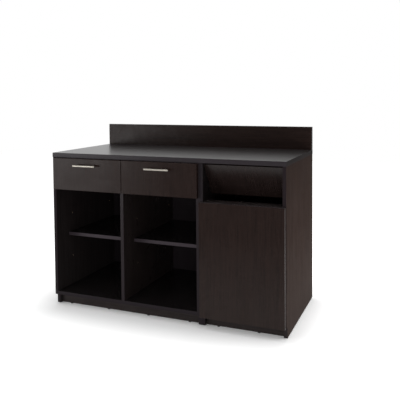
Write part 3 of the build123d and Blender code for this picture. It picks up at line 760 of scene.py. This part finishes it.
def dress_slides(side):
    """Ball cages, balls and fixing screws of one drawer's pair of slides."""
    low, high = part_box(side + "_slide_cabinet_members")
    middle_low, middle_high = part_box(side + "_slide_middle_members")
    middle_z = (low[2] + high[2]) / 2
    walls = ((low[0], 1), (high[0], -1))
    rear_start = middle_high[1] - CAGE_FROM_END - CAGE_LENGTH
    front_start = middle_low[1] + CAGE_FROM_END
    for label, race, start in (("outer", OUTER_RACE, rear_start), ("inner", INNER_RACE, front_start)):
        sheets, balls = bmesh.new(), bmesh.new()
        for wall, inward in walls:
            add_cage(sheets, wall, inward, middle_z, start, race)
            add_balls(balls, wall, inward, middle_z, start, race)
        body = side + "_slide_middle"
        cages = make_piece(side + "_" + label + "_ball_cages", sheets, zinc, body)
        thicken = cages.modifiers.new("sheet", "SOLIDIFY")
        thicken.thickness = CAGE_STEEL
        thicken.offset = 0.0
        row = make_piece(side + "_" + label + "_balls", balls, ball_steel, body)
        row.data.polygons.foreach_set("use_smooth", [True] * len(row.data.polygons))

    on_cabinet, on_drawer = bmesh.new(), bmesh.new()
    for wall, inward in walls:
        for y in CABINET_SCREWS:
            spot = (wall + inward * SLIDE_STEEL, low[1] + y, middle_z)
            add_head(on_cabinet, spot, (inward, 0, 0), *SLIDE_HEAD)
        for y in DRAWER_SCREWS:
            spot = (wall + inward * (SLIDE_THICKNESS - SLIDE_STEEL), low[1] + y, middle_z)
            add_head(on_drawer, spot, (-inward, 0, 0), *SLIDE_HEAD)
    make_piece(side + "_slide_cabinet_screws", on_cabinet, zinc, "cabinet")
    make_piece(side + "_slide_drawer_screws", on_drawer, zinc, side + "_drawer")


def dress_drawer(side):
    """Screws inside the box: two through the front into the pull, four that fix the front."""
    front_low, front_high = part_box(side + "_drawer_front")
    inner_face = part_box(side + "_drawer_sub_front")[1][1]
    box_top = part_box(side + "_drawer_sub_front")[1][2]
    bar_low, bar_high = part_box(side + "_pull_bar")
    centre_x = (front_low[0] + front_high[0]) / 2
    pull_z = (bar_low[2] + bar_high[2]) / 2
    into_pull, into_front = bmesh.new(), bmesh.new()
    for way in (-1, 1):
        spot = (centre_x + way * PULL_HALF_SPACING, inner_face, pull_z)
        add_head(into_pull, spot, (0, 1, 0), *DRAWER_HEAD)
        for down in FRONT_SCREW_DOWN:
            spot = (centre_x + way * FRONT_SCREW_REACH, inner_face, box_top - down)
            add_head(into_front, spot, (0, 1, 0), *DRAWER_HEAD)
    make_piece(side + "_pull_screws", into_pull, zinc, side + "_drawer")
    make_piece(side + "_front_fixing_screws", into_front, zinc, side + "_drawer")


def dress_hinges():
    """Screws of the two hinges: in the plates, in the arms over them and in the cup flanges."""
    low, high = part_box("hinge_plates")
    levels = (low[2] + HINGE_HALF_PLATE, high[2] - HINGE_HALF_PLATE)
    panel_low, panel_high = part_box("right_outer_side")
    case_side, case_front = panel_high[0], panel_low[1]
    door_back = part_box("door_panel")[1][1]
    plate_y = (low[1] + high[1]) / 2
    on_plate, on_arm, on_cup = bmesh.new(), bmesh.new(), bmesh.new()
    for level in levels:
        for way in (-1, 1):
            spot = (low[0], plate_y, level + way * PLATE_SCREW_RISE)
            add_head(on_plate, spot, (-1, 0, 0), *HINGE_HEAD)
            spot = (case_side - CUP_SCREW_INWARD, door_back + CUP_FLANGE, level + way * CUP_SCREW_RISE)
            add_head(on_cup, spot, (0, 1, 0), *HINGE_HEAD)
        for y in ARM_SCREW_FROM_FRONT:
            spot = (case_side - ARM_WEB_INWARD, case_front + y, level)
            add_head(on_arm, spot, (-1, 0, 0), *ARM_HEAD)
    make_piece("hinge_plate_screws", on_plate, hinge_plating, "cabinet")
    make_piece("hinge_arm_screws", on_arm, hinge_plating, "cabinet")
    make_piece("hinge_cup_screws", on_cup, hinge_plating, "door")


def spaced(low, high):
    """Even spots between two ends, about NAIL_SPACING apart, with one at each end."""
    count = max(1, round((high - low) / NAIL_SPACING))
    return [low + (high - low) * number / count for number in range(count + 1)]


def nail_back(side):
    """Nail heads round the rear face of one back panel, driven flush."""
    low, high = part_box(side + "_back_panel")
    x0, x1 = low[0] + NAIL_INSET, high[0] - NAIL_INSET
    z0, z1 = low[2] + NAIL_INSET, high[2] - NAIL_INSET
    spots = {(x, z) for x in (x0, x1) for z in spaced(z0, z1)}
    spots |= {(x, z) for z in (z0, z1) for x in spaced(x0, x1)}
    heads = bmesh.new()
    for x, z in sorted(spots):
        add_head(heads, (x, high[1], z), (0, 1, 0), *NAIL_HEAD)
    make_piece(side + "_back_nails", heads, zinc, "cabinet")


def add_lining(shape, mouth, into):
    """A thin cup against the wall and the bottom of one bored hole."""
    x, y, z = mouth
    reach = PIN_HOLE_RADIUS - BARE_SKIN
    turns = [math.tau * number / PIN_HOLE_SIDES for number in range(PIN_HOLE_SIDES)]
    around = [(y + reach * math.cos(turn), z + reach * math.sin(turn)) for turn in turns]
    front_x = x + into * BARE_SKIN
    base_x = x + into * (PIN_HOLE_DEPTH - BARE_SKIN)
    front = [shape.verts.new((front_x, *spot)) for spot in around]
    back = [shape.verts.new((base_x, *spot)) for spot in around]
    middle = shape.verts.new((base_x, y, z))
    for here in range(PIN_HOLE_SIDES):
        after = (here + 1) % PIN_HOLE_SIDES
        shape.faces.new((front[here], front[after], back[after], back[here]))
        shape.faces.new((back[here], back[after], middle))


def bare_pin_holes():
    """The bare core of the board inside the shelf pin holes above and below the pins in use."""
    pins_low, pins_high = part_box("shelf_pins")
    columns = (pins_low[1] + PIN_HOLE_RADIUS, pins_high[1] - PIN_HOLE_RADIUS)
    pin_z = (pins_low[2] + pins_high[2]) / 2
    levels = (pin_z - PIN_SPACING, pin_z + PIN_SPACING)
    lining = bmesh.new()
    for bay in ("left", "right"):
        low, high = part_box(bay + "_slide_cabinet_members")
        for wall, into in ((low[0], -1), (high[0], 1)):
            for y in columns:
                for z in levels:
                    add_lining(lining, (wall, y, z), into)
    make_piece("pin_hole_core", lining, bare_core, "cabinet")


for side in ("left", "right"):
    dress_slides(side)
    dress_drawer(side)
    nail_back(side)
dress_hinges()
bare_pin_holes()


# Studio: a pale floor, a white surround and soft lamps
FLOOR_SIZE = 14.0
FLOOR_ROUGHNESS = 0.9
FLOOR_PAINT = (0.88, 0.88, 0.88, 1.0)
WHITE = (1.0, 1.0, 1.0, 1.0)
FLOOR_GLOW_NEAR = 0.07
FLOOR_GLOW_FAR = 0.42
FLOOR_GLOW_REACH = 0.32
SURROUND_LIGHT = 0.65


def direct_sight(tree):
    """1 for what the camera sees itself or in a reflection, 0 for what only lights the object."""
    path = add(tree, "ShaderNodeLightPath")
    sharp = math_node(tree, "ADD", path.outputs["Is Glossy Ray"], path.outputs["Is Transmission Ray"])
    return math_node(tree, "ADD", path.outputs["Is Camera Ray"], sharp, clamp=True)


def away_from_footprint(tree):
    """Distance on the floor from the rectangle that the cabinet covers."""
    where = add(tree, "ShaderNodeTexCoord")
    flipped = add(tree, "ShaderNodeVectorMath", operation="ABSOLUTE")
    tree.links.new(where.outputs["Object"], flipped.inputs[0])
    beyond = add(tree, "ShaderNodeVectorMath", operation="SUBTRACT")
    tree.links.new(flipped.outputs[0], beyond.inputs[0])
    beyond.inputs[1].default_value = (cad_high[0], cad_high[1], 0.0)
    outside = add(tree, "ShaderNodeVectorMath", operation="MAXIMUM")
    tree.links.new(beyond.outputs[0], outside.inputs[0])
    length = add(tree, "ShaderNodeVectorMath", operation="LENGTH")
    tree.links.new(outside.outputs[0], length.inputs[0])
    return length.outputs["Value"]


def make_floor():
    """The floor, with a faint glow that fades near the cabinet, where its shadow lies."""
    mesh = bpy.data.meshes.new("studio_floor")
    half = FLOOR_SIZE / 2
    corners = [(-half, -half, 0.0), (half, -half, 0.0), (half, half, 0.0), (-half, half, 0.0)]
    mesh.from_pydata(corners, [], [(0, 1, 2, 3)])
    floor = bpy.data.objects.new("studio_floor", mesh)
    bpy.context.scene.collection.objects.link(floor)
    material, tree, shader = new_material("studio_white")
    shader.inputs["Roughness"].default_value = FLOOR_ROUGHNESS
    shader.inputs["Specular IOR Level"].default_value = 0.0
    shader.inputs["Emission Color"].default_value = WHITE
    sight = direct_sight(tree)
    paint = mixed(tree, sight, FLOOR_PAINT, WHITE)
    tree.links.new(paint, shader.inputs["Base Color"])
    away = away_from_footprint(tree)
    glow = ranged(tree, away, 0.0, FLOOR_GLOW_REACH, FLOOR_GLOW_NEAR, FLOOR_GLOW_FAR)
    tree.links.new(math_node(tree, "MULTIPLY", sight, glow), shader.inputs["Emission Strength"])
    mesh.materials.append(material)


def make_world():
    """The surround: white to the eye and in reflections, dimmer as a light."""
    world = bpy.data.worlds.new("studio_surround")
    bpy.context.scene.world = world
    world.use_nodes = True
    tree = world.node_tree
    background = tree.nodes["Background"]
    background.inputs["Color"].default_value = WHITE
    strength = ranged(tree, direct_sight(tree), 0.0, 1.0, SURROUND_LIGHT, 1.0)
    tree.links.new(strength, background.inputs["Strength"])


def make_lamp(name, place_at, aim_at, size, power):
    """A soft lamp at one point, turned to another. Sizes are in metres and powers in watts."""
    data = bpy.data.lights.new(name, "AREA")
    data.shape = "RECTANGLE"
    data.size, data.size_y = size
    data.energy = power
    lamp = bpy.data.objects.new(name, data)
    bpy.context.scene.collection.objects.link(lamp)
    lamp.location = place_at
    lamp.rotation_euler = (Vector(aim_at) - Vector(place_at)).to_track_quat("-Z", "Y").to_euler()


# lamps: name, place, the point they look at, size and power
LAMPS = (
    ("left_softbox", (-2.75, -2.8, 0.6), (-0.4, -0.3, 0.5), (1.8, 1.1), 66.0),
    ("overhead_softbox", (0.0, 0.2, 3.2), (0.0, 0.2, 0.0), (1.8, 1.4), 46.0),
    ("front_softbox", (1.25, -2.75, 0.55), (-0.1, 0.1, 0.4), (0.9, 0.45), 20.0),
    ("side_softbox", (1.8, 0.1, 0.2), (0.6, 0.0, 0.2), (0.9, 0.36), 19.0),
)

make_floor()
make_world()
for lamp in LAMPS:
    make_lamp(*lamp)


# Camera, fitted to the photograph's edges: metres and radians, and millimetres for the lens
CAMERA_PLACE = (1.3426, -2.8304, 1.2021)
CAMERA_TURN = 0.3730
CAMERA_TILT = 0.0412
CAMERA_ROLL = -0.0067
CAMERA_LENS = 49.04
CAMERA_SHIFT = (-0.05, -0.205)
CAMERA_SENSOR = 36.0
CAMERA_CLIP = (0.05, 60.0)


def make_camera():
    """The camera, placed and turned as the photograph was taken."""
    data = bpy.data.cameras.new("photograph_camera")
    data.sensor_width = CAMERA_SENSOR
    data.lens = CAMERA_LENS
    data.shift_x, data.shift_y = CAMERA_SHIFT
    data.clip_start, data.clip_end = CAMERA_CLIP
    camera = bpy.data.objects.new("photograph_camera", data)
    bpy.context.scene.collection.objects.link(camera)
    camera.matrix_world = (
        Matrix.Translation(CAMERA_PLACE)
        @ Matrix.Rotation(CAMERA_TURN, 4, "Z")
        @ Matrix.Rotation(math.pi / 2 - CAMERA_TILT, 4, "X")
        @ Matrix.Rotation(CAMERA_ROLL, 4, "Z")
    )
    bpy.context.scene.camera = camera


make_camera()
bpy.context.scene.view_settings.view_transform = "Standard"
